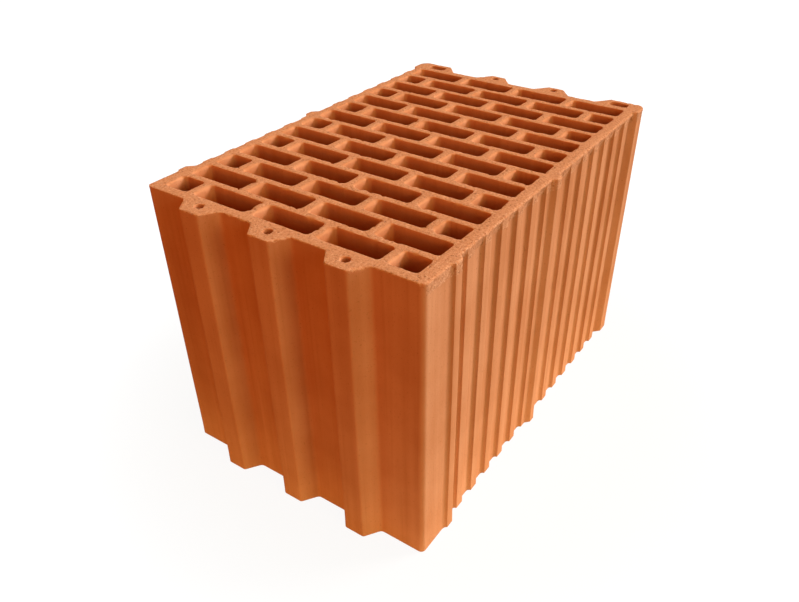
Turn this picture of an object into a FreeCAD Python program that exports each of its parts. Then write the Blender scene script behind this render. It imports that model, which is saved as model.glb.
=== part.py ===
import FreeCAD, Part
import math
import os
import Sketcher

# Hollow clay block, extruded upwards through a die, cut by wire and fired as one piece.
# X runs along the block from the tongue end to the groove end, Y across it, Z up the extrusion.
# The origin is under the middle of the block's outer box, on the lower bed face.

doc = FreeCAD.newDocument("clay_block")
sheet = doc.addObject("Spreadsheet::Sheet", "dims")


class Size:
    """A number that keeps the sheet expression it comes from."""

    def __init__(self, value, text):
        self.value = value
        self.text = text

    def __add__(self, other):
        other = as_size(other)
        return Size(self.value + other.value, f"({self.text} + {other.text})")

    def __sub__(self, other):
        other = as_size(other)
        return Size(self.value - other.value, f"({self.text} - {other.text})")

    def __mul__(self, factor):
        factor = as_size(factor)
        return Size(self.value * factor.value, f"({self.text} * {factor.text})")

    def __truediv__(self, share):
        share = as_size(share)
        return Size(self.value / share.value, f"({self.text} / {share.text})")

    def __neg__(self):
        return self * -1

    def whole(self):
        return Size(math.floor(self.value), f"floor({self.text})")

    def at_most(self, other):
        return Size(min(self.value, other.value), f"min({self.text}; {other.text})")


def as_size(value):
    if isinstance(value, Size):
        return value
    return Size(value, str(value))


def size(alias, value):
    row = len(sheet.getUsedCells()) // 2 + 1
    sheet.set(f"A{row}", alias)
    sheet.set(f"B{row}", str(value))
    sheet.setAlias(f"B{row}", alias)
    return Size(value, f"dims.{alias}")


# Overall sizes: the length is the laying length, without the tongues that enter the next block
block_length = size("block_length", 375)
block_height = size("block_height", 249)
strip_width = size("strip_width", 245)

# Rows of slots: their width is what the walls and webs leave of the length
row_pairs = size("row_pairs", 7)
end_wall = size("end_wall", 8.5)
side_wall = size("side_wall", 11)
row_web = size("row_web", 6)
cross_web = size("cross_web", 7.5)
slot_round = size("slot_round", 3)

# Tongues on the near end
tongue_pitch = size("tongue_pitch", 65)
tongue_tip = size("tongue_tip", 18)
tongue_base = size("tongue_base", 36)
tongue_depth = size("tongue_depth", 13)
tongue_round = size("tongue_round", 2.5)
root_round = size("root_round", 4)
tongue_bore = size("tongue_bore", 7)

# Grooves on the far end: a tongue and its play on every side
groove_slack = size("groove_slack", 1)
floor_play = size("floor_play", 4.5)
mouth_play = size("mouth_play", 7)
groove_bore = size("groove_bore", 7)
groove_bore_wall = size("groove_bore_wall", 4)

# Cells in the far corners
cell_width = size("cell_width", 9.5)
cell_wall = size("cell_wall", 5)
cell_side = size("cell_side", 12.5)
cell_web = size("cell_web", 2)
cell_round = size("cell_round", 3.5)

# Plain strips at the corners of the two long faces
near_strip = size("near_strip", 27.5)
near_round = size("near_round", 4)
far_strip = size("far_strip", 19.5)
far_ramp = size("far_ramp", 6)
far_proud = size("far_proud", 1.5)
far_round = size("far_round", 8.5)

# Plaster key along the long faces: low ribs between proud keys
flute_depth = size("flute_depth", 4.3)
rib_pitch = size("rib_pitch", 23.3)
rib_face = size("rib_face", 9.5)
rib_height = size("rib_height", 2.8)
near_gap = size("near_gap", 3.4)
mid_gap = size("mid_gap", 16.7)
key_proud = size("key_proud", 2.5)
key_ramp = size("key_ramp", 4.5)
key_face = size("key_face", 8)
mid_key_face = size("mid_key_face", 7)

# How far each added form runs into the core
lap = size("lap", 3)
doc.recompute()

# Places along the block, moved so that zero is the middle of the outer box
middle = (block_length - tongue_depth) / 2
groove_depth = tongue_depth + groove_slack
rows_run = block_length - groove_depth - end_wall * 2
row_pitch = (rows_run + row_web) / (row_pairs * 2)
slot_width = row_pitch - row_web
near_wall = -middle
near_tip = near_wall - tongue_depth
first_slot = near_wall + end_wall
far_tip = near_wall + block_length
far_wall = far_tip - groove_depth

# Places across the block, on its +Y half
strip_face = strip_width / 2
flute_face = strip_face - flute_depth
rib_top = flute_face + rib_height
key_top = strip_face + key_proud
key_drop = flute_depth + key_proud
far_face = strip_face + far_proud
inside = flute_face - lap
slot_end = strip_face - side_wall
slot_length = (slot_end * 2 - cross_web * 3) / 4
slot_pitch = slot_length + cross_web
half_slot = (slot_length - cross_web) / 2

body = doc.addObject("PartDesign::Body", "clay_block")
body.Label = "clay_block"
origin = {feature.Role: feature for feature in body.Origin.OriginFeatures}


class Outline:
    """A sketch on the lower bed face whose corners and radii follow the sheet."""

    def __init__(self, name):
        self.sketch = body.newObject("Sketcher::SketchObject", name)
        self.sketch.AttachmentSupport = [(origin["XY_Plane"], "")]
        self.sketch.MapMode = "FlatFace"
        self.rules = []
        self.bound = []

    def rule(self, kind, *refs):
        self.rules.append(Sketcher.Constraint(kind, *refs))

    def bind(self, length, kind, *refs):
        self.bound.append((len(self.rules), length.text))
        self.rule(kind, *refs, length.value)

    def place(self, x, y, geo, point):
        self.bind(x, "DistanceX", -1, 1, geo, point)
        self.bind(y, "DistanceY", -1, 1, geo, point)

    def loop(self, corners):
        """A closed outline through corners (x, y, radius); a radius of None leaves a corner sharp."""
        here = [FreeCAD.Vector(x.value, y.value, 0) for x, y, radius in corners]
        turns = []
        for k, (x, y, radius) in enumerate(corners):
            after = here[(k + 1) % len(here)]
            turns.append(rounded(here[k - 1], here[k], after, radius.value if radius else 0))
        sides = []
        for k, (arrive, leave, centre) in enumerate(turns):
            ahead = turns[(k + 1) % len(turns)][0]
            sides.append(self.sketch.addGeometry(Part.LineSegment(leave, ahead)))
        for k, (x, y, radius) in enumerate(corners):
            before = sides[k - 1]
            after = sides[k]
            if radius:
                self.round_corner(x, y, radius, here[k], turns[k], before, after)
            else:
                self.rule("Coincident", before, 2, after, 1)
                self.place(x, y, after, 1)

    def round_corner(self, x, y, radius, corner, turn, before, after):
        arrive, leave, centre = turn
        leftward = (corner - arrive).cross(leave - corner).z > 0
        start, stop = (arrive, leave) if leftward else (leave, arrive)
        first, last = (1, 2) if leftward else (2, 1)
        begin = math.atan2(start.y - centre.y, start.x - centre.x)
        sweep = math.atan2(stop.y - centre.y, stop.x - centre.x) - begin
        circle = Part.Circle(centre, FreeCAD.Vector(0, 0, 1), radius.value)
        arc = self.sketch.addGeometry(Part.ArcOfCircle(circle, begin, begin + sweep % (2 * math.pi)))
        point = self.sketch.addGeometry(Part.Point(corner), True)
        self.rule("Tangent", before, 2, arc, first)
        self.rule("Tangent", arc, last, after, 1)
        self.rule("PointOnObject", point, 1, before)
        self.rule("PointOnObject", point, 1, after)
        self.place(x, y, point, 1)
        self.bind(radius, "Radius", arc)

    def box(self, x0, x1, y0, y1, radius):
        self.loop([(x0, y0, radius), (x1, y0, radius), (x1, y1, radius), (x0, y1, radius)])

    def both_sides(self, corners):
        """The same outline on the two long faces."""
        self.loop(corners)
        self.loop([(x, -y, radius) for x, y, radius in corners])

    def hole(self, x, y, width):
        centre = FreeCAD.Vector(x.value, y.value, 0)
        circle = Part.Circle(centre, FreeCAD.Vector(0, 0, 1), width.value / 2)
        geo = self.sketch.addGeometry(circle)
        self.place(x, y, geo, 3)
        self.bind(width, "Diameter", geo)

    def done(self):
        self.sketch.addConstraint(self.rules)
        for index, text in self.bound:
            self.sketch.setExpression(f"Constraints[{index}]", text)
        self.sketch.Visibility = False
        return self.sketch


def rounded(before, corner, after, radius):
    """Where a rounded corner begins and ends, and the centre of its arc."""
    back = (before - corner).normalize()
    ahead = (after - corner).normalize()
    half = back.getAngle(ahead) / 2
    reach = radius / math.tan(half)
    centre = corner + (back + ahead).normalize() * (radius / math.sin(half))
    return corner + back * reach, corner + ahead * reach, centre


def pad(outline, name):
    feature = body.newObject("PartDesign::Pad", name)
    feature.Profile = outline.done()
    feature.setExpression("Length", block_height.text)
    feature.Refine = False
    body.Tip = feature
    doc.recompute()
    return feature


def pocket(outline, name):
    feature = body.newObject("PartDesign::Pocket", name)
    feature.Profile = outline.done()
    feature.Type = "Length"
    feature.Reversed = True
    feature.setExpression("Length", (block_height + lap).text)
    feature.Refine = False
    before = body.Shape.Volume
    body.Tip = feature
    doc.recompute()
    if body.Shape.Volume >= before:
        raise RuntimeError(name + " removes no clay")
    return feature


def pattern(features, name, step, number):
    repeat = body.newObject("PartDesign::LinearPattern", name)
    repeat.Originals = features
    repeat.Direction = (origin["X_Axis"], [""])
    repeat.Refine = False
    body.Tip = repeat
    repeat.setExpression("Length", (step * (number - 1)).text)
    repeat.setExpression("Occurrences", number.text)
    doc.recompute()
    return repeat


# Core between the flutes
outline = Outline("core_outline")
outline.box(near_wall, far_wall, -flute_face, flute_face, None)
pad(outline, "core")

# Near corner strips, each rising to a proud key
ramp_foot = near_wall + near_strip
key_left = ramp_foot + key_ramp
key_right = key_left + key_face
key_foot = key_right + key_drop
outline = Outline("near_strip_outline")
outline.both_sides([
    (near_wall, inside, None),
    (near_wall, strip_face, near_round),
    (ramp_foot, strip_face, None),
    (key_left, key_top, None),
    (key_right, key_top, None),
    (key_foot, flute_face, None),
    (key_foot, inside, None),
])
pad(outline, "near_strips")

# Middle keys, which end at half the laying length
mid_right = near_wall + block_length / 2
mid_left = mid_right - mid_key_face
mid_start = mid_left - key_drop
mid_foot = mid_right + key_drop
outline = Outline("mid_key_outline")
outline.both_sides([
    (mid_start, inside, None),
    (mid_start, flute_face, None),
    (mid_left, key_top, None),
    (mid_right, key_top, None),
    (mid_foot, flute_face, None),
    (mid_foot, inside, None),
])
pad(outline, "mid_keys")

# Plaster ribs in two runs: as many as fit before the middle key and before the far strip
strip_left = far_tip - far_strip
strip_foot = strip_left - far_ramp
rib_base = rib_face + rib_height * 2
first_run = key_foot + near_gap
second_run = mid_foot + mid_gap
first_count = ((mid_start - first_run) / rib_pitch).whole() + 1
second_count = ((strip_foot - second_run - rib_base) / rib_pitch).whole() + 1
for name, start, number in (("first_rib", first_run, first_count), ("second_rib", second_run, second_count)):
    outline = Outline(name + "_outline")
    outline.both_sides([
        (start, inside, None),
        (start, flute_face, None),
        (start + rib_height, rib_top, None),
        (start + rib_height + rib_face, rib_top, None),
        (start + rib_base, flute_face, None),
        (start + rib_base, inside, None),
    ])
    rib = pad(outline, name)
    pattern([rib], name + "s", rib_pitch, number)

# Far corners: a strip on the long face that carries half a tongue on the end
floor_half = tongue_tip / 2 + floor_play
mouth_half = tongue_base / 2 + mouth_play
corner_tip = tongue_pitch + mouth_half
corner_root = tongue_pitch + floor_half
outline = Outline("far_corner_outline")
outline.both_sides([
    (strip_foot, inside, None),
    (strip_foot, flute_face, None),
    (strip_left, far_face, None),
    (far_tip, far_face, far_round),
    (far_tip, corner_tip, tongue_round),
    (far_wall, corner_root, root_round),
    (far_wall, corner_root - root_round, None),
    (far_wall - lap, corner_root - root_round, None),
    (far_wall - lap, inside, None),
])
pad(outline, "far_corners")


def tongue(outline, wall, tip, back, low_root, low_tip, high_tip, high_root):
    """A tapered tongue on an end wall, with hollow roots; back lies inside the core."""
    outline.loop([
        (back, low_root - root_round, None),
        (wall, low_root - root_round, None),
        (wall, low_root, root_round),
        (tip, low_tip, tongue_round),
        (tip, high_tip, tongue_round),
        (wall, high_root, root_round),
        (wall, high_root + root_round, None),
        (back, high_root + root_round, None),
    ])


# Near tongues
near_places = (-tongue_pitch, tongue_pitch * 0, tongue_pitch)
base_half = tongue_base / 2
tip_half = tongue_tip / 2
outline = Outline("near_tongue_outline")
for y in near_places:
    tongue(outline, near_wall, near_tip, near_wall + lap, y - base_half, y - tip_half,
           y + tip_half, y + base_half)
pad(outline, "near_tongues")

# Far tongues, left between the grooves
far_places = (-tongue_pitch / 2, tongue_pitch / 2)
far_base_half = tongue_pitch / 2 - floor_half
far_tip_half = tongue_pitch / 2 - mouth_half
outline = Outline("far_tongue_outline")
for y in far_places:
    tongue(outline, far_wall, far_tip, far_wall - lap, y - far_base_half, y - far_tip_half,
           y + far_tip_half, y + far_base_half)
pad(outline, "far_tongues").Refine = True

# Round cores that keep the tongues from drying thicker than the webs
outline = Outline("tongue_bore_outline")
for y in near_places:
    outline.hole((near_tip + first_slot) / 2, y, tongue_bore)
for y in far_places:
    outline.hole(far_tip - groove_bore_wall - groove_bore / 2, y, groove_bore)
pocket(outline, "tongue_bores")

# Cells between the strip and the groove in the far corners
cell_right = far_tip - cell_wall
cell_left = cell_right - cell_width
cell_high = strip_face - cell_side
cell_low = corner_tip + cell_web
cell_corner = cell_round.at_most((cell_high - cell_low) / 3)
outline = Outline("corner_cell_outline")
outline.box(cell_left, cell_right, cell_low, cell_high, cell_corner)
outline.box(cell_left, cell_right, -cell_high, -cell_low, cell_corner)
pocket(outline, "corner_cells")

# Slots in running bond: rows of half, three full and half turn about with rows of four full
outline = Outline("split_row_outline")
row_left = first_slot
row_right = row_left + slot_width
outline.box(row_left, row_right, -slot_end, half_slot - slot_end, slot_round)
outline.box(row_left, row_right, slot_end - half_slot, slot_end, slot_round)
for step in (-1, 0, 1):
    y = slot_pitch * step
    outline.box(row_left, row_right, y - slot_length / 2, y + slot_length / 2, slot_round)
split_row = pocket(outline, "split_row")

outline = Outline("full_row_outline")
row_left = first_slot + row_pitch
row_right = row_left + slot_width
for step in (-1.5, -0.5, 0.5, 1.5):
    y = slot_pitch * step
    outline.box(row_left, row_right, y - slot_length / 2, y + slot_length / 2, slot_round)
full_row = pocket(outline, "full_row")
pattern([split_row, full_row], "rows", row_pitch * 2, row_pairs)

for thing in doc.Objects:
    if "Invalid" in thing.State or "Error" in thing.State:
        raise RuntimeError(thing.Name + " did not build")
shape = body.Shape
if shape.isNull() or not shape.isValid() or len(shape.Solids) != 1:
    raise RuntimeError("the block is not one sound solid")
os.makedirs("parts", exist_ok=True)
shape.exportStep("parts/clay_block.step")

outer_box = shape.BoundBox
litre = 1e6
print("outer box", outer_box.XLength, outer_box.YLength, outer_box.ZLength, "mm, faces", len(shape.Faces))
print("x from", outer_box.XMin, "y from", outer_box.YMin, "z from", outer_box.ZMin)
print("slots", slot_width.value, "by", slot_length.value, "mm")
print("ribs", first_count.value, "and", second_count.value)
print("clay", shape.Volume / litre, "litres")
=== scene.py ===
# %% [markdown]
# A hollow clay block is one length of clay that was pushed through a die, cut off by wires and fired.
# The CAD holds its walls, webs, slots and ribs at their real size. Blender adds what the die, the wire
# and the kiln left on them: soft edges, torn rims, drag lines, grit and uneven colour.

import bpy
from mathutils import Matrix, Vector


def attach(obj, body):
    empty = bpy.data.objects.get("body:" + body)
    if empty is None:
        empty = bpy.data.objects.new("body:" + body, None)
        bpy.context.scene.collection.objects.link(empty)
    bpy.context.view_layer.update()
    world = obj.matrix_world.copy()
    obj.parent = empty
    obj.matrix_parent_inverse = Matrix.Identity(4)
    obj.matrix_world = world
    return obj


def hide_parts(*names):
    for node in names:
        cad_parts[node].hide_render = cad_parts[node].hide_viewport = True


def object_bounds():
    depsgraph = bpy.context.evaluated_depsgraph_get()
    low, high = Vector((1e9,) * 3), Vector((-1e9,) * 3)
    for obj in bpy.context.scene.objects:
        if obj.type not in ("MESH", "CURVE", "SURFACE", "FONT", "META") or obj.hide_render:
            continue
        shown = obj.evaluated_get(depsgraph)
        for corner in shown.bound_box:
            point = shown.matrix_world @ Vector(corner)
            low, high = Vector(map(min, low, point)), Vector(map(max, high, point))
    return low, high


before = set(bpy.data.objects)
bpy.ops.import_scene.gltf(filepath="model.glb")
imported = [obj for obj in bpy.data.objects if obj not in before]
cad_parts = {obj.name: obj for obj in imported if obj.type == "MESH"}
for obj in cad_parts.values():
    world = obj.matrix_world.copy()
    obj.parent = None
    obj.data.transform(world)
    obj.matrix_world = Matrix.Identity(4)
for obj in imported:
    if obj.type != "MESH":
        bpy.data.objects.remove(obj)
cad_low, cad_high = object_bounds()
print("CAD box, m:", list(cad_low), list(cad_high))

# %% [markdown]
# The block is worked out in millimetres, as on a drawing, and becomes metres when Blender gets its mesh.
# All random draws come from one generator with a fixed seed, so each run makes the same block.

# %% Tools for the lesson
import math

import bpy
import numpy as np
from mathutils import Euler, Matrix, Vector, geometry, kdtree, noise

mm = 0.001
chance = np.random.default_rng(seed=375)
top_height = cad_high.z / mm
half_width = cad_high.y / mm
print("the block stands", round(top_height, 2), "mm high and is", round(2 * half_width, 2), "mm wide")

# %% [markdown]
# The block has the same section from bed to bed, because it came out of a die. So the section is read
# once, as closed outlines round the upper bed face of the CAD mesh, and the piece is built up from those
# outlines. Remeshing the CAD solid would be the other way, but that blunts 6 mm webs, and here each wall
# keeps its place.

# %% Read the outlines of the section
same_height = 0.01


def section_outlines(mesh, height):
    """Closed outlines of the faces at one height, in millimetres, with the clay on the left of each."""
    numbers = np.empty(len(mesh.vertices) * 3, np.float32)
    mesh.vertices.foreach_get("co", numbers)
    rounded = (numbers.reshape(-1, 3) / mm).round(3)
    places, place_of = np.unique(rounded, axis=0, return_inverse=True)
    place_of = place_of.ravel()
    sides = set()
    for face in mesh.polygons:
        corners = [int(place_of[v]) for v in face.vertices]
        if all(abs(places[c, 2] - height) < same_height for c in corners):
            sides.update(zip(corners, corners[1:] + corners[:1]))
    follows = {a: b for a, b in sides if (b, a) not in sides}
    outlines = []
    while follows:
        here = min(follows)
        chain = []
        while here in follows:
            chain.append(here)
            here = follows.pop(here)
        outlines.append(places[chain, :2])
    return sorted(outlines, key=len, reverse=True)


outlines = section_outlines(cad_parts["clay_block"].data, top_height)
print("outlines:", len(outlines), "- points in the longest:", len(outlines[0]))

# %% [markdown]
# Rings of points are what the next steps work on: outlines that close on themselves, walked with the clay on
# the left. Small functions measure along a ring, place points on it, smooth values round it and say which
# way is out of the clay.

# %% Helpers for rings
fine_step = 0.2


def run_along(ring):
    """The distance along a closed ring at each of its points, and last the whole way round."""
    return np.concatenate([[0], np.cumsum(np.hypot(*(np.roll(ring, -1, 0) - ring).T))])


def ring_points(wanted, along, ring):
    """Points at the wanted distances along a closed ring."""
    closed = np.vstack([ring, ring[:1]])
    return np.stack([np.interp(wanted, along, closed[:, k]) for k in (0, 1)], 1)


def blur(values, reach):
    """Values round a closed ring, smoothed over a number of places."""
    waves = np.fft.fftfreq(len(values))
    keep = np.exp(-2 * (math.pi * waves * reach) ** 2)
    return np.fft.ifft((np.fft.fft(values, axis=0).T * keep).T, axis=0).real


def outward(ring, reach):
    """Directions out of the clay, smoothed over a number of places."""
    ahead = np.roll(ring, -1, 0) - np.roll(ring, 1, 0)
    out = np.stack([ahead[:, 1], -ahead[:, 0]], 1)
    out = blur(out / np.hypot(*out.T)[:, None], reach)
    return out / np.hypot(*out.T)[:, None]


def fine_points(outline):
    """A closed outline as points one fine step apart."""
    along = run_along(outline)
    return ring_points(np.arange(0, along[-1], fine_step), along, outline)


print("way round the outside:", round(run_along(outlines[0])[-1], 1), "mm")

# %% [markdown]
# The ribbed faces hold the plaster. The flanks of the ribs, and the near flank of the first key, are a little
# hollow, so they are steepest at the edge that stands out. The CAD has them straight. The hollow is less
# than a millimetre deep, so it is drawn here, as a quarter round between the level of the flutes and that of
# the ribs, or between the corner strip and the key.

# %% Hollow the flanks of the ribs
key_proud, flute_depth, rib_height = 2.5, 4.3, 2.8
key_level = half_width
strip_level = key_level - key_proud
flute_level = strip_level - flute_depth
rib_level = flute_level + rib_height
tongue_depth, near_strip, key_ramp, far_margin = 13, 27.5, 4.5, 26
key_from = cad_low.x / mm + tongue_depth + near_strip
flutes_from = key_from + key_ramp
flutes_to = cad_high.x / mm - far_margin
half_middle_key = 9
flanks = [
    (key_from, flutes_from, strip_level, key_level),
    (flutes_from, -half_middle_key, flute_level, rib_level),
    (half_middle_key, flutes_to, flute_level, rib_level),
]


def hollowed_flanks(outline):
    """The outer outline as fine points, with each flank between two levels turned into a quarter round."""
    x, y = fine_points(outline).T
    for start, end, low, high in flanks:
        share = np.clip((np.abs(y) - low) / (high - low), 0, 1)
        on_flank = (x > start) & (x < end) & (share > 0) & (np.abs(y) <= high)
        quarter_round = np.sign(y) * (low + (high - low) * (1 - np.sqrt(1 - share ** 2)))
        y = np.where(on_flank, quarter_round, y)
    return np.column_stack([x, y])


outer_outline = hollowed_flanks(outlines[0])
print("fine points round the outside:", len(outer_outline))

# %% [markdown]
# A die's corners are never razor sharp, and clay flows round them: edges that stand out stay crisp, while
# hollow corners fill into a soft curve. So each outline is blurred twice, a little and a lot, and takes the
# strong blur only where that adds clay. A bevel would treat both kinds of corner alike. Then each outline
# gets new points: far apart on the straight, close together where it turns.

# %% Round and divide the outlines
def divided(outline, gap, turn, edge, hollow):
    """Points on a rounded outline, at most gap apart, with at most that turn from one to the next."""
    fine = fine_points(outline)
    crisp = blur(fine, edge / fine_step)
    out = outward(crisp, edge / fine_step)
    added = ((blur(fine, hollow / fine_step) - crisp) * out).sum(1)
    fine = crisp + out * np.clip(added, 0, None)[:, None]
    ahead = np.roll(fine, -1, 0) - fine
    behind = fine - np.roll(fine, 1, 0)
    across = behind[:, 0] * ahead[:, 1] - behind[:, 1] * ahead[:, 0]
    swing = np.arctan2(across, (behind * ahead).sum(1))
    load = np.concatenate([[0], np.cumsum(np.hypot(*ahead.T) / gap + np.abs(swing) / turn)])
    number = math.ceil(load[-1])
    return ring_points(np.arange(number) * load[-1] / number, load, fine)


outer_gap, slot_gap = 1.6, 2.2
outer_edge, outer_hollow = 0.35, 0.7
slot_edge, slot_hollow = 0.3, 0.6
each_turn = math.radians(18)
rings = [divided(outer_outline, outer_gap, each_turn, outer_edge, outer_hollow)]
rings += [divided(outline, slot_gap, each_turn, slot_edge, slot_hollow) for outline in outlines[1:]]
print("points round the outside:", len(rings[0]), "- round all holes:", sum(map(len, rings[1:])))

# %% [markdown]
# A taut wire cuts the soft clay to length and tears it where it leaves a wall. So the rims of the upper bed
# are rounded unevenly, with chips that come in clusters. The bed itself lies about a fifth of a millimetre
# below the CAD face and rises and falls by half of that. Sculpting could do this by hand; noise does it alike
# on all the rims and can be run again.

# %% Torn rims and an uneven bed
chip_reach, chip_start, chip_limit = 0.6, 0.7, 1.4
cluster_reach, cluster_middle, cluster_limit = 8, 0.9, 1.6
uneven_reach, uneven_share, uneven_limit = 1, 0.25, 2


def wander(number, reach):
    """Noise round a closed ring, smooth over a number of places, with a spread of 1."""
    values = blur(chance.standard_normal(number), reach)
    return (values - values.mean()) / values.std()


def rim_rounds(number, plain, torn):
    """Rim radius at each point of a ring: an uneven round, with chips where the noise peaks."""
    chips = np.clip(wander(number, chip_reach) - chip_start, 0, chip_limit)
    clusters = np.clip(wander(number, cluster_reach) + cluster_middle, 0, cluster_limit)
    uneven = np.clip(wander(number, uneven_reach), -uneven_limit, uneven_limit)
    return plain * (1 + uneven_share * uneven) + torn * (chips * clusters)


sink_middle, sink_swing = 0.20, 0.10
broad_lump, close_lump = 60, 6
broad_slice, close_slice = 3.0, 9.0


def bed_sink(x, y):
    """How far the cut upper bed lies below the CAD face, in millimetres."""
    broad = noise.noise(Vector((x / broad_lump, y / broad_lump, broad_slice)))
    close = noise.noise(Vector((x / close_lump, y / close_lump, close_slice)))
    return sink_middle + sink_swing * broad + sink_swing * close


print("the bed sinks in the middle by", round(bed_sink(0, 0), 3), "mm")

# %% [markdown]
# Each wall is a stack of rings: a quarter round at each bed, and nearly straight between, with the slight
# waviness of clay that dried. The lower rims get a small, even round, because they stand on the floor. A
# bevel modifier would give one width to all of a rim, and here each point of an upper rim has its own.

# %% Stack a wall from rings
rim_angles = [math.radians(a) for a in (0, 30, 60, 90)]
floor_rim, widest_rim = 0.2, 3.5
wave_across, wave_up = 45, 90


def wall_rings(ring, heights, plain, torn, wave, smear, even):
    """Rings of points from the lower bed to the upper one, and how much painted rim highlight each point
    gets.

    The upper rim has a plain round and torn chips of those sizes, and the wall waves in and out by wave. The
    smear says how far dragged clay moves the points. Directions at the upper rim are smoothed over as many
    places as even says.
    """
    out = outward(ring, 1)
    number = len(ring)
    high = np.minimum(rim_rounds(number, plain, torn), widest_rim)
    sink = np.array([bed_sink(x, y) for x, y in ring])
    levels, rim_highlight = [], []
    for a in reversed(rim_angles):
        flat = ring - out * (floor_rim * (1 - math.cos(a)))
        levels.append((flat, np.full(number, floor_rim * (1 - math.sin(a)))))
        rim_highlight.append(np.full(number, math.sin(a)))
    for height in heights:
        wave_height = height / wave_up
        drift = [noise.noise(Vector((x / wave_across, y / wave_across, wave_height))) for x, y in ring]
        inward = wave * (1 + np.array(drift)) / 2
        flat = ring - out * inward[:, None]
        levels.append((flat + smear(ring, top_height - height), np.full(number, float(height))))
        rim_highlight.append(np.zeros(number))
    shoulder = ring + smear(ring, 0)
    shoulder_out = outward(shoulder, even)
    for a in rim_angles:
        flat = shoulder - shoulder_out * (high * (1 - math.cos(a)))[:, None]
        levels.append((flat, top_height - (high * (1 - math.sin(a)) + sink)))
        rim_highlight.append(np.full(number, math.sin(a)))
    points = np.array([np.column_stack([flat, rise]) for flat, rise in levels])
    return points, np.array(rim_highlight)


print("rings in each rim:", len(rim_angles))

# %% [markdown]
# Along the ribbed faces the wire drags clay down over the flutes, which so begin about ten millimetres below
# the bed, under a soft shoulder. The shoulder is made by moving the flutes' upper points outwards: on -Y to
# the level of the ribs at the bed and less further down, and on +Y half as far.

# %% Dragged clay over the flutes
smear_depth, smear_swing, smear_lump = 10.0, 4, 11
smear_row, smear_slice = 2.0, 5.0
back_share = 0.5
side_from = half_width - 13


def flute_smear(ring, below):
    """How the dragged clay moves points of the flutes outwards at some depth below the upper bed."""
    x, y = ring.T
    swing = [noise.noise(Vector((place / smear_lump, smear_row, smear_slice))) for place in x]
    depth = smear_depth + smear_swing * np.array(swing)
    share = np.where(y < 0, 1, back_share) * np.clip(1 - below / depth, 0, 1)
    in_flutes = (x > flutes_from) & (x < flutes_to) & (np.abs(y) > side_from)
    hollow = np.where(in_flutes, np.clip(rib_level - np.abs(y), 0, None), 0)
    return np.column_stack([np.zeros(len(x)), np.sign(y) * hollow * share])


def no_smear(ring, below):
    """The walls of the holes stay clear of dragged clay."""
    return 0


print("dragged clay is up to", round(np.abs(flute_smear(rings[0], 0)).max(), 2), "mm thick")

# %% [markdown]
# Now all the walls are stacked. The outer rim is widest along the ribbed face on -Y and almost sharp on the
# far one. In the slots one end is dragged over more than the other, the end whose wall faces -Y. The corner
# cells and bores have less clay round them, so their rims aren't dragged.

# %% Build the walls
shoulder_drops = (17, 13, 9.5, 6, 3.5)
outer_heights = [12, 40, 75, 110, 145, 180, 212] + [top_height - drop for drop in shoulder_drops]
end_rim, side_rim, back_rim = 0.7, 1.5, 0.25
outer_tear, back_tear = 0.7, 0.05
outer_wave, outer_even = 0.35, 5
side_reach, side_focus = 3, 4
facing_side = np.clip(-outward(rings[0], side_reach)[:, 1], 0, 1) ** side_focus
on_back = rings[0][:, 1] > side_from
outer_rim = np.where(on_back, back_rim, end_rim + (side_rim - end_rim) * facing_side)
outer_torn = np.where(on_back, back_tear, outer_tear)
walls = [wall_rings(rings[0], outer_heights, outer_rim, outer_torn, outer_wave, flute_smear, outer_even)]

slot_heights = [60, 225]
slot_rim, dragged_rim, slot_tear = 0.4, 1.9, 1.0
slot_wave, slot_even = 0.25, 1
wire_reach, wire_focus = 1, 2
shortest_slot_round = 75
for ring in rings[1:]:
    facing_wire = np.clip(-outward(ring, wire_reach)[:, 1], 0, 1) ** wire_focus
    is_slot = run_along(ring)[-1] > shortest_slot_round
    hole_rim = slot_rim + (dragged_rim - slot_rim) * facing_wire * is_slot
    walls.append(wall_rings(ring, slot_heights, hole_rim, slot_tear, slot_wave, no_smear, slot_even))
print("walls:", len(walls), "- rings in the outer one:", len(walls[0][0]))

# %% [markdown]
# Neighbouring rings are joined by four-sided faces. Each point keeps its share of the painted rim highlight
# and whether it lies in a hole, for the colours and the painted shade later. Each face keeps whether the
# wire shaped it: that holds for the rims of the outside and for the upper part of the dragged shoulder on -Y.

# %% Join the rings
rim_rows = len(rim_angles) - 1
shoulder_rows = 3
dragged_from = 0.5


def shaped_by_wire(count):
    """For the faces of the outer wall of so many rings, row by row: whether the wire shaped them."""
    row = np.arange(count - 1)[:, None]
    rims = (row < rim_rows) | (row >= count - 1 - rim_rows)
    shoulder = (row >= count - 1 - rim_rows - shoulder_rows) & (facing_side > dragged_from)
    return (rims | shoulder).ravel()


points, rim_highlights, insides, faces, wire_cut, low_rims, high_rims = [], [], [], [], [], [], []
start = 0
for wall, rim_highlight in walls:
    count, number = wall.shape[:2]
    is_hole = start > 0
    names = start + np.arange(count * number).reshape(count, number)
    after = np.roll(names, -1, 1)
    faces += np.stack([names[:-1], after[:-1], after[1:], names[1:]], -1).reshape(-1, 4).tolist()
    wire_cut.append(np.zeros((count - 1) * number, bool) if is_hole else shaped_by_wire(count))
    points.append(wall.reshape(-1, 3))
    rim_highlights.append(rim_highlight.ravel())
    insides.append(np.full(count * number, float(is_hole)))
    low_rims.append(names[0])
    high_rims.append(names[-1])
    start += count * number
points = np.concatenate(points)
rim_highlights = np.concatenate(rim_highlights)
insides = np.concatenate(insides)
print("wall points:", start, "- wall faces:", len(faces))

# %% [markdown]
# The beds are what the wire left between the rims. Each is filled with a loose grid of points and
# triangulated between its rims, so the upper bed can carry the small rise and fall of torn clay. The lower
# bed gets a coarser grid, because it lies on the floor.

# %% Helpers for the beds
looseness = 0.3
merge_distance = 1e-5


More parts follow.
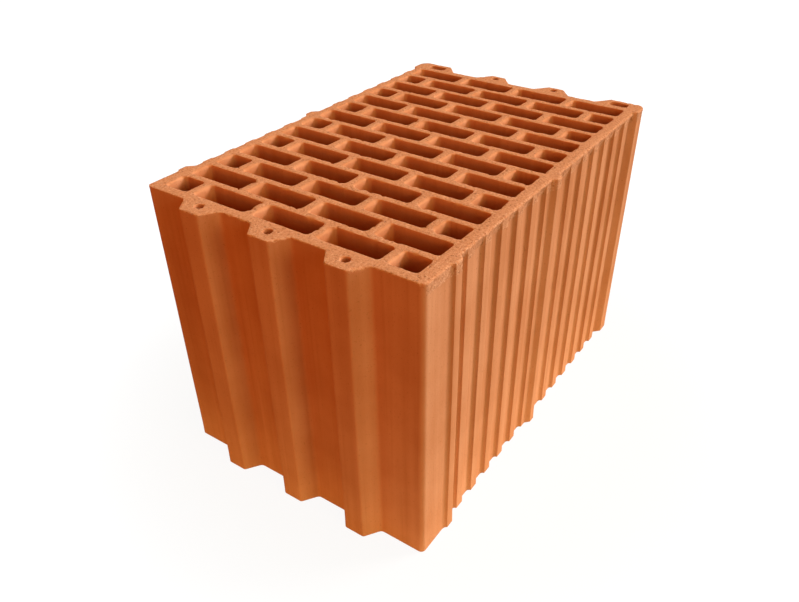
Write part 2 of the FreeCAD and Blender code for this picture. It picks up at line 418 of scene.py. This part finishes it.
def grid_points(rim, out, grid, clear):
    """Loosely placed points in the clay that keep clear of the rim."""
    tree = kdtree.KDTree(len(rim))
    for k, (x, y) in enumerate(rim):
        tree.insert((x, y, 0), k)
    tree.balance()
    across, along = np.meshgrid(np.arange(cad_low.x / mm, cad_high.x / mm, grid),
                                np.arange(cad_low.y / mm, cad_high.y / mm, grid))
    flat = np.stack([across.ravel(), along.ravel()], 1)
    flat += chance.uniform(-looseness, looseness, flat.shape) * grid
    nearest = np.array([tree.find((x, y, 0))[1] for x, y in flat])
    depth = ((rim[nearest] - flat) * out[nearest]).sum(1)
    return flat[depth > clear].tolist()


def bed(rims, grid, clear, rise):
    """New points and triangles between the rims of one bed."""
    rim = np.concatenate(rims)
    flat = points[rim, :2]
    out = np.concatenate([outward(points[ring, :2], 1) for ring in rims])
    inner = grid_points(flat, out, grid, clear)
    no_ring = -1
    lengths = [len(ring) for ring in rims]
    ring_of = np.repeat(np.arange(len(rims)), lengths).tolist() + [no_ring] * len(inner)
    sides, first = [], 0
    for ring in rims:
        here = list(range(first, first + len(ring)))
        sides += zip(here, here[1:] + here[:1])
        first += len(ring)
    every = [Vector(place) for place in flat.tolist() + inner]
    inside_only = 1
    filled = geometry.delaunay_2d_cdt(every, sides, [], inside_only, merge_distance, False)
    found, triangles = filled[0], filled[2]
    if len(found) != len(every):
        raise RuntimeError("the rims of a bed cross each other")
    names = rim.tolist() + list(range(len(points), len(points) + len(inner)))
    kept = []
    for a, b, c in triangles:
        one_ring = ring_of[a] == ring_of[b] == ring_of[c] != no_ring
        with_the_ring = a < b < c or b < c < a or c < a < b
        if with_the_ring or not one_ring:
            kept.append([names[a], names[b], names[c]])
    return [(x, y, rise(x, y)) for x, y in inner], kept


print("rims of the upper bed:", len(high_rims), "- points on them:", sum(map(len, high_rims)))

# %% [markdown]
# A triangle whose three corners lie on one rim can fall inside a hole, and then it runs round the wrong way
# for that rim, so the function above drops it. The two beds now close the walls into one watertight skin.

# %% Fill the beds
upper_grid, upper_clear = 2.3, 1.25
lower_grid, lower_clear = 6, 2.5
new, upper = bed(high_rims, upper_grid, upper_clear, lambda x, y: top_height - bed_sink(x, y))
points = np.concatenate([points, new])
new, lower = bed(low_rims, lower_grid, lower_clear, lambda x, y: 0)
points = np.concatenate([points, new])
faces += upper + [triangle[::-1] for triangle in lower]
rim_highlights = np.concatenate([rim_highlights, np.zeros(len(points) - len(rim_highlights))])
insides = np.concatenate([insides, np.zeros(len(points) - len(insides))])
wire_cut = np.concatenate(wire_cut + [np.ones(len(upper) + len(lower), bool)])
print("triangles in the upper bed:", len(upper), "- in the lower bed:", len(lower))

# %% [markdown]
# Now the points and faces become one mesh object, because the block is one piece of clay. It stands for the
# CAD node, rides on the frame's only body, and takes the record's clay finish. Two material slots tell the
# walls that slid through the die from the beds, outer rims and shoulder that the wire shaped.

# %% Make the block
mesh = bpy.data.meshes.new("clay_block_skin")
mesh.from_pydata((points * mm).tolist(), [], faces)
mesh.update()
# Each point's share of the painted highlight on the rims, growing towards the bed side of each round.
mesh.attributes.new("painted_rim_highlight", "FLOAT", "POINT").data.foreach_set("value", rim_highlights.astype(np.float32))
mesh.attributes.new("inside_slot", "FLOAT", "POINT").data.foreach_set("value", insides.astype(np.float32))
mesh.polygons.foreach_set("use_smooth", np.ones(len(faces), bool))
mesh.polygons.foreach_set("material_index", wire_cut.astype(np.int32))
block = bpy.data.objects.new("clay_block_skin", mesh)
bpy.context.scene.collection.objects.link(block)
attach(block, "root")
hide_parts("clay_block")
print("triangles in the block:", sum(len(face) - 2 for face in faces))

# %% [markdown]
# Colours are written as sRGB hex values, the way a picture editor shows them, and Blender's sockets want
# linear light, so one function turns one into the other. One small function adds a node with its settings
# and links. The four below it are the nodes that come again and again, which keeps each material short
# enough to read from top to bottom.

# %% Helpers for materials
def linear(code):
    """An sRGB hex colour as linear red, green, blue and alpha."""
    shares = [int(code[k:k + 2], 16) / 255 for k in (1, 3, 5)]
    return [s / 12.92 if s <= 0.04045 else ((s + 0.055) / 1.055) ** 2.4 for s in shares] + [1.0]


def add(tree, kind, links=None, **settings):
    """A new node: settings are its own properties, links are socket values or outputs that feed them."""
    node = tree.nodes.new(kind)
    for name, value in settings.items():
        setattr(node, name, value)
    for socket, value in (links or {}).items():
        if isinstance(value, bpy.types.NodeSocket):
            tree.links.new(value, node.inputs[socket])
        else:
            node.inputs[socket].default_value = value
    return node


def lumps(tree, place, width, detail, roughness=0.5):
    """A noise from 0 to 1 whose lumps are that many millimetres wide."""
    links = {"Vector": place, "Scale": 1 / (width * mm), "Detail": detail, "Roughness": roughness}
    return add(tree, "ShaderNodeTexNoise", links).outputs[0]


def ramp(tree, value, start, end, low, high):
    """A value that goes from low to high while another goes from start to end."""
    return add(tree, "ShaderNodeMapRange", {0: value, 1: start, 2: end, 3: low, 4: high}).outputs[0]


def blend(tree, share, first, second):
    """A colour that goes from the first to the second while a share goes from 0 to 1."""
    return add(tree, "ShaderNodeMix", {0: share, 6: first, 7: second}, data_type="RGBA").outputs[2]


def combine(tree, operation, first, second):
    """The sum, product or the like of two values."""
    return add(tree, "ShaderNodeMath", {0: first, 1: second}, operation=operation).outputs[0]


def new_material(name):
    """A material without nodes, and its node tree."""
    material = bpy.data.materials.new(name)
    material.use_nodes = True
    material.node_tree.nodes.clear()
    return material, material.node_tree


print("orange clay in linear light:", [round(v, 3) for v in linear("#d8834e")])

# %% [markdown]
# The walls are unglazed fired clay, an earthenware body that slid through a steel die. That leaves a close,
# dull skin with faint lines along the way it slid, and the kiln leaves soft patches of lighter and deeper
# orange. The lines are a noise that is narrow across and long in height. Down in the holes the walls are
# painted deeper in colour towards the bottom, as painted shade of the recess. Clay has an index near 1.5,
# and its pores scatter almost all of the shine.

# %% Extruded clay skin
clay_index, clay_shine = 1.5, 0.05
line_stretch = 0.02
# Painted shade in the holes starts 1 mm below the bed and is full 13 mm below it.
slot_shade_start = (top_height - 1) * mm
slot_shade_end = (top_height - 13) * mm
skin, tree = new_material("fired_clay_extruded_skin")
place = add(tree, "ShaderNodeTexCoord").outputs["Object"]
upright = add(tree, "ShaderNodeMapping", {"Vector": place, "Scale": (1, 1, line_stretch)}).outputs[0]
patches = lumps(tree, place, width=45, detail=4.0)
bands = lumps(tree, upright, width=11, detail=2.0)
streaks = lumps(tree, upright, width=3.5, detail=3.0)
grit = lumps(tree, place, width=1.6, detail=3.0)
tone_share = ramp(tree, combine(tree, "ADD", patches, bands), start=0.75, end=1.25, low=0.0, high=1.0)
streak_share = ramp(tree, streaks, start=0.55, end=0.75, low=0.0, high=0.35)
grit_share = ramp(tree, grit, start=0.62, end=0.72, low=0.0, high=0.4)
height = add(tree, "ShaderNodeSeparateXYZ", {0: place}).outputs["Z"]
depth_share = ramp(tree, height, start=slot_shade_start, end=slot_shade_end, low=0.0, high=1.0)
inside = add(tree, "ShaderNodeAttribute", attribute_name="inside_slot").outputs["Fac"]
painted_slot_shade = combine(tree, "MULTIPLY", depth_share, inside)
colour = blend(tree, tone_share, linear("#cb865e"), linear("#d99771"))
colour = blend(tree, streak_share, colour, linear("#c07a52"))
colour = blend(tree, grit_share, colour, linear("#ab6a43"))
# Painted shade: the walls of the holes turn deeper orange towards the bottom.
colour = blend(tree, painted_slot_shade, colour, linear("#b45c28"))
relief = combine(tree, "ADD", streaks, grit)
bump = add(tree, "ShaderNodeBump", {"Height": relief, "Strength": 0.35, "Distance": 0.3 * mm})
clay = add(tree, "ShaderNodeBsdfPrincipled", {
    "Base Color": colour, "Roughness": 0.9, "IOR": clay_index, "Specular IOR Level": clay_shine,
    "Normal": bump.outputs[0]})
add(tree, "ShaderNodeOutputMaterial", {"Surface": clay.outputs[0]})
print("extruded skin nodes:", len(tree.nodes))

# %% [markdown]
# The beds are the same clay, cut by a taut wire while it was soft. The wire drags grit along, so the face is
# sandy and brushed one way, with pale grains, small pits where grains were pulled out, painted dark as their
# shade, and torn rims with a painted highlight.
# Real sand here is under a millimetre; the grains are drawn about twice as coarse, or the camera would not
# see them.

# %% Wire-cut clay beds
drag_turn = Euler((0, 0, math.radians(35)))
drag_stretch = 0.12
cut, tree = new_material("fired_clay_wire_cut_bed")
place = add(tree, "ShaderNodeTexCoord").outputs["Object"]
brushed = add(tree, "ShaderNodeMapping", {
    "Vector": place, "Rotation": drag_turn, "Scale": (drag_stretch, 1, 1)}).outputs[0]
patches = lumps(tree, place, width=30, detail=5.0)
drag = lumps(tree, brushed, width=2.4, detail=3.0)
sand = lumps(tree, place, width=1.9, detail=3.0, roughness=0.7)
pits = lumps(tree, place, width=2.6, detail=3.0, roughness=0.6)
rim_highlight_fac = add(tree, "ShaderNodeAttribute", attribute_name="painted_rim_highlight").outputs["Fac"]
grain_share = ramp(tree, sand, start=0.52, end=0.66, low=0.0, high=0.6)
dark_share = ramp(tree, sand, start=0.46, end=0.34, low=0.0, high=0.6)
# Painted highlight: sandy grains on the rounded rims are painted paler towards the bed.
painted_rim_highlight_share = combine(tree, "MULTIPLY", rim_highlight_fac, grain_share)
# Painted shade: the pits are darkened as the shade inside them, and the same share sinks them in the bump.
pit_with_painted_shade = ramp(tree, pits, start=0.62, end=0.69, low=0.0, high=0.5)
colour = blend(tree, patches, linear("#cc8963"), linear("#d99a76"))
colour = blend(tree, grain_share, colour, linear("#e6b393"))
colour = blend(tree, dark_share, colour, linear("#a4643f"))
# Painted highlight on the rims.
colour = blend(tree, painted_rim_highlight_share, colour, linear("#dfa888"))
# Painted shade in the pits.
colour = blend(tree, pit_with_painted_shade, colour, linear("#84482a"))
relief = combine(tree, "SUBTRACT", combine(tree, "ADD", drag, sand), pit_with_painted_shade)
bump = add(tree, "ShaderNodeBump", {"Height": relief, "Strength": 0.6, "Distance": 0.9 * mm})
clay = add(tree, "ShaderNodeBsdfPrincipled", {
    "Base Color": colour, "Roughness": 0.95, "IOR": clay_index, "Specular IOR Level": clay_shine,
    "Normal": bump.outputs[0]})
add(tree, "ShaderNodeOutputMaterial", {"Surface": clay.outputs[0]})
mesh.materials.append(skin)
mesh.materials.append(cut)
print("wire-cut bed nodes:", len(tree.nodes))

# %% [markdown]
# The block stands on a plain white sheet, as in a studio. For the camera the sheet is mostly an even white
# glow that still keeps the block's soft shadow. For light that scatters it is paper: near the block it
# throws the lamps' light back onto the lower walls and adds a faint yellowish lift of its own. The sheet and
# the distances on it are in metres.

# %% Floor
floor_size = 6.0
near_from, near_to = 0.20, 0.45
far_paper, near_paper = (0.05, 0.05, 0.05, 1), (0.5, 0.5, 0.5, 1)
lift_colour, lift_strength = linear("#ffffa8"), 0.35
white = (1, 1, 1, 1)
glow_strength, glow_near_block = 1.1, 0.84


def seen_directly(tree):
    """1 for rays that come from the camera or by a reflection or refraction, 0 for light that scatters."""
    path = add(tree, "ShaderNodeLightPath").outputs
    either = combine(tree, "MAXIMUM", path["Is Camera Ray"], path["Is Glossy Ray"])
    return combine(tree, "MAXIMUM", either, path["Is Transmission Ray"])


half = floor_size / 2
floor_corners = [(-half, -half, 0), (half, -half, 0), (half, half, 0), (-half, half, 0)]
floor_mesh = bpy.data.meshes.new("studio_floor")
floor_mesh.from_pydata(floor_corners, [], [(0, 1, 2, 3)])
floor = bpy.data.objects.new("studio_floor", floor_mesh)
bpy.context.scene.collection.objects.link(floor)
paper, tree = new_material("white_studio_paper")
place = add(tree, "ShaderNodeTexCoord").outputs["Object"]
away = add(tree, "ShaderNodeVectorMath", {0: place}, operation="LENGTH").outputs["Value"]
near = add(tree, "ShaderNodeMapRange", {0: away, 1: near_from, 2: near_to, 3: 1.0, 4: 0.0},
           interpolation_type="SMOOTHSTEP").outputs[0]
plain = add(tree, "ShaderNodeBsdfDiffuse", {"Color": blend(tree, near, far_paper, near_paper)})
seen = seen_directly(tree)
lift_share = combine(tree, "MULTIPLY", near, ramp(tree, seen, 0.0, 1.0, low=lift_strength, high=0.0))
lift = add(tree, "ShaderNodeEmission", {"Color": lift_colour, "Strength": lift_share})
sheet = add(tree, "ShaderNodeAddShader", {0: plain.outputs[0], 1: lift.outputs[0]})
glow = add(tree, "ShaderNodeEmission", {"Color": white, "Strength": glow_strength})
glow_share = combine(tree, "MULTIPLY", seen, ramp(tree, near, 0.0, 1.0, low=1.0, high=glow_near_block))
shown = add(tree, "ShaderNodeMixShader", {0: glow_share, 1: sheet.outputs[0], 2: glow.outputs[0]})
add(tree, "ShaderNodeOutputMaterial", {"Surface": shown.outputs[0]})
floor_mesh.materials.append(paper)
print("floor", floor_size, "m across")

# %% [markdown]
# The light is soft and plain. A broad lamp far to the right rakes along the ribbed face and leaves the
# tongued end in its own shade. A weaker, yellowish one in front fills the ribbed face, and one overhead
# lights the bed. A low orange one gives the tongued end its deep colour. Sun lamps suit this, because their
# light is even over the whole block and only their angles matter.

# %% Lamps
lamp_spread = math.radians(25)


def far_lamp(name, azimuth, elevation, strength, colour):
    """A broad, even light from far away, at that bearing counted from -Y towards +X."""
    lamp = bpy.data.lights.new(name, "SUN")
    lamp.angle = lamp_spread
    lamp.energy = strength
    lamp.color = linear(colour)[:3]
    a, e = math.radians(azimuth), math.radians(elevation)
    towards = Vector((math.sin(a) * math.cos(e), -math.cos(a) * math.cos(e), math.sin(e)))
    stand = bpy.data.objects.new(name, lamp)
    stand.rotation_euler = towards.to_track_quat("Z", "Y").to_euler()
    bpy.context.scene.collection.objects.link(stand)


far_lamp("key_lamp", azimuth=54, elevation=30, strength=3.15, colour="#ffffff")
far_lamp("front_lamp", azimuth=-9, elevation=18, strength=1.15, colour="#ffedb0")
far_lamp("top_lamp", azimuth=0, elevation=85, strength=0.85, colour="#fff093")
far_lamp("end_lamp", azimuth=-95, elevation=6, strength=1.04, colour="#ff880c")

# %% [markdown]
# The room fills the shade with a little of the warm light that clay throws about. To the camera it shows
# itself as plain white, like the sheet.

# %% Room
room_colour, room_strength = linear("#ff7c30"), 0.17
world = bpy.data.worlds.new("white_room")
bpy.context.scene.world = world
world.use_nodes = True
tree = world.node_tree
tree.nodes.clear()
room = add(tree, "ShaderNodeBackground", {"Color": room_colour, "Strength": room_strength})
backdrop = add(tree, "ShaderNodeBackground", {"Color": white, "Strength": 1.0})
seen = seen_directly(tree)
shown = add(tree, "ShaderNodeMixShader", {0: seen, 1: room.outputs[0], 2: backdrop.outputs[0]})
add(tree, "ShaderNodeOutputWorld", {"Surface": shown.outputs[0]})
bpy.context.scene.view_settings.view_transform = "Standard"
print("room nodes:", len(tree.nodes))

# %% [markdown]
# The camera stands where the photographer stood. Its place, turn and focal length were worked out from the
# block's corners, slot rows and ribs, whose real places the CAD knows. A small shift stands for the crop of
# the picture.

# %% Camera
image_width = 799
focal_pixels = 736.5
crop_right, crop_down = 26.8, 13.9
eye = Vector((-486.4, -321.3, 483.1)) * mm
heading, dip, lean = math.radians(57.10), math.radians(35.01), math.radians(0.53)

camera_data = bpy.data.cameras.new("photo_camera")
camera_data.sensor_width = 36
camera_data.lens = camera_data.sensor_width * focal_pixels / image_width
camera_data.shift_x = -crop_right / image_width
camera_data.shift_y = crop_down / image_width
camera_data.clip_start = 0.01
camera = bpy.data.objects.new("photo_camera", camera_data)
forward = Vector((math.sin(heading) * math.cos(dip), math.cos(heading) * math.cos(dip), -math.sin(dip)))
turn = forward.to_track_quat("-Z", "Y").to_matrix() @ Matrix.Rotation(lean, 3, "Z")
camera.matrix_world = Matrix.Translation(eye) @ turn.to_4x4()
bpy.context.scene.collection.objects.link(camera)
bpy.context.scene.camera = camera
print("lens", round(camera_data.lens, 2), "mm")
